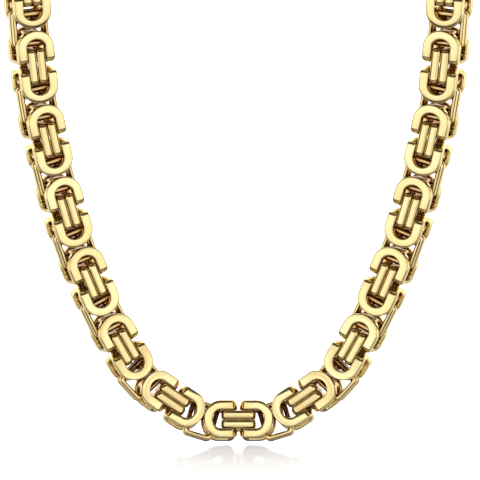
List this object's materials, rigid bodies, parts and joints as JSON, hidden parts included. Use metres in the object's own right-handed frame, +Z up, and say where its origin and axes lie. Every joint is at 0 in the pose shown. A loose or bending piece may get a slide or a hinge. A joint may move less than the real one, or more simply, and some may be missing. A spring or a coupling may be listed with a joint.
{
  "type": "byzantine chain necklace",
  "caption": "Square-section byzantine neck chain in gold-toned steel, a closed loop with broad folded links, paired flat rings and a plain box clasp, in its worn shape.",
  "frame": {"origin": "middle of the clasp's inner side, where the chain lies on the back of the neck", "axes": "+Z up; the chest is towards -Y and the back of the neck towards +Y; X runs across the neck, and the chain is a mirror image of itself about X = 0"},
  "size_m": [0.139, 0.0721, 0.1963],
  "materials": {
    "gold_tone_steel": "mirror-polished gold tone over steel"
  },
  "bodies": {
    "root": {"face_links": "gold_tone_steel", "bar_links": "gold_tone_steel", "clasp": "gold_tone_steel"}
  },
  "joints": []
}
